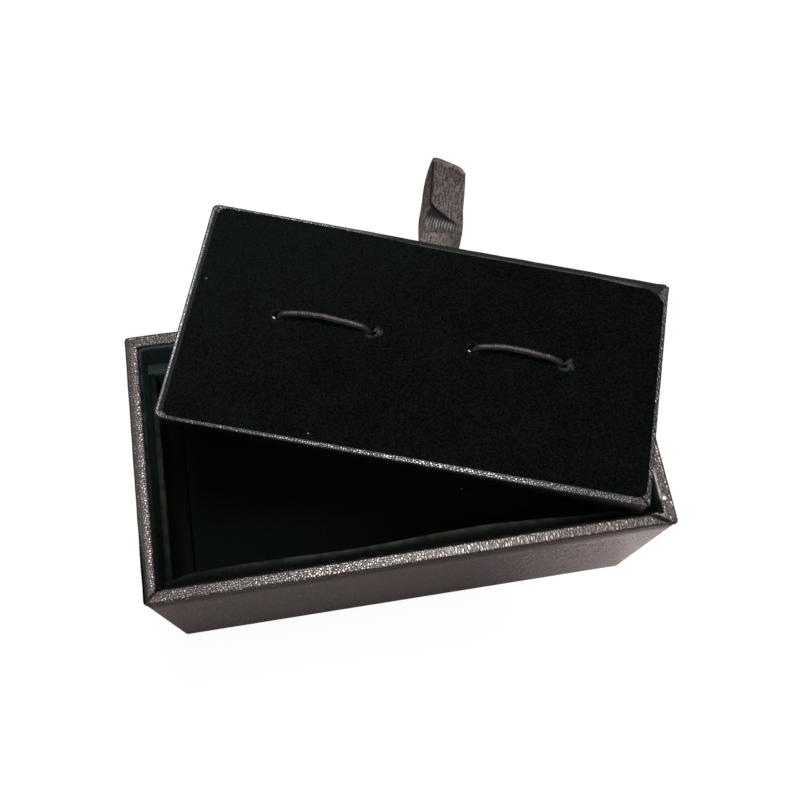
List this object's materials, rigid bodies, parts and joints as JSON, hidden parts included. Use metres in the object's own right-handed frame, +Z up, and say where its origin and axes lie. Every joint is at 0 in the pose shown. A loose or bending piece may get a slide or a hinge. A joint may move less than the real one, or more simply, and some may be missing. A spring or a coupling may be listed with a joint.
{
  "type": "cufflink display box",
  "caption": "Open leatherette-covered presentation box lined with velvet, with a lift-out velvet insert that holds cufflinks under elastic loops and has a ribbon pull tab.",
  "frame": {"origin": "centre of the underside of the base, on the surface that the box stands on", "axes": "+X along the long side of the base to the right, +Y from its front wall to its back wall, +Z up"},
  "size_m": [0.0926, 0.0661, 0.0525],
  "materials": {
    "leatherette": "satin",
    "velvet": "matte",
    "board": "matte",
    "paper": "matte",
    "elastic": "matte",
    "ribbon": "satin"
  },
  "bodies": {
    "base": {"base_floor_board": "board", "base_front_board": "board", "base_back_board": "board", "base_left_board": "board", "base_right_board": "board", "base_leatherette_skin": "leatherette", "base_bottom_paper": "paper", "upper_wall_lining": "velvet", "liner_card_front": "board", "liner_velvet_front": "velvet", "liner_card_back": "board", "liner_velvet_back": "velvet", "liner_card_left": "board", "liner_velvet_left": "velvet", "liner_card_right": "board", "liner_velvet_right": "velvet", "floor_card": "board", "floor_velvet": "velvet"},
    "insert": {"insert_upper_ply": "board", "insert_lower_ply": "board", "insert_leatherette_skin": "leatherette", "insert_backing_sheet": "paper", "insert_velvet_face": "velvet", "elastic_loop_left": "elastic", "elastic_loop_right": "elastic", "pull_tab_ribbon_tail": "ribbon"},
    "pull_tab": {"pull_tab_ribbon_loop": "ribbon"}
  },
  "joints": [
    {"name": "insert_lift", "type": "slide", "parent": "base", "child": "insert", "axis": [0, 0, 1], "range_m": [0, 0.06]},
    {"name": "pull_tab_fold", "type": "hinge", "parent": "insert", "child": "pull_tab", "pos_m": [0.01296, 0.03137, 0.0401], "axis": [0.9432, -0.3322, 0], "range_deg": [-145, 35], "stiffness_Nm_per_rad": 0.0005}
  ]
}
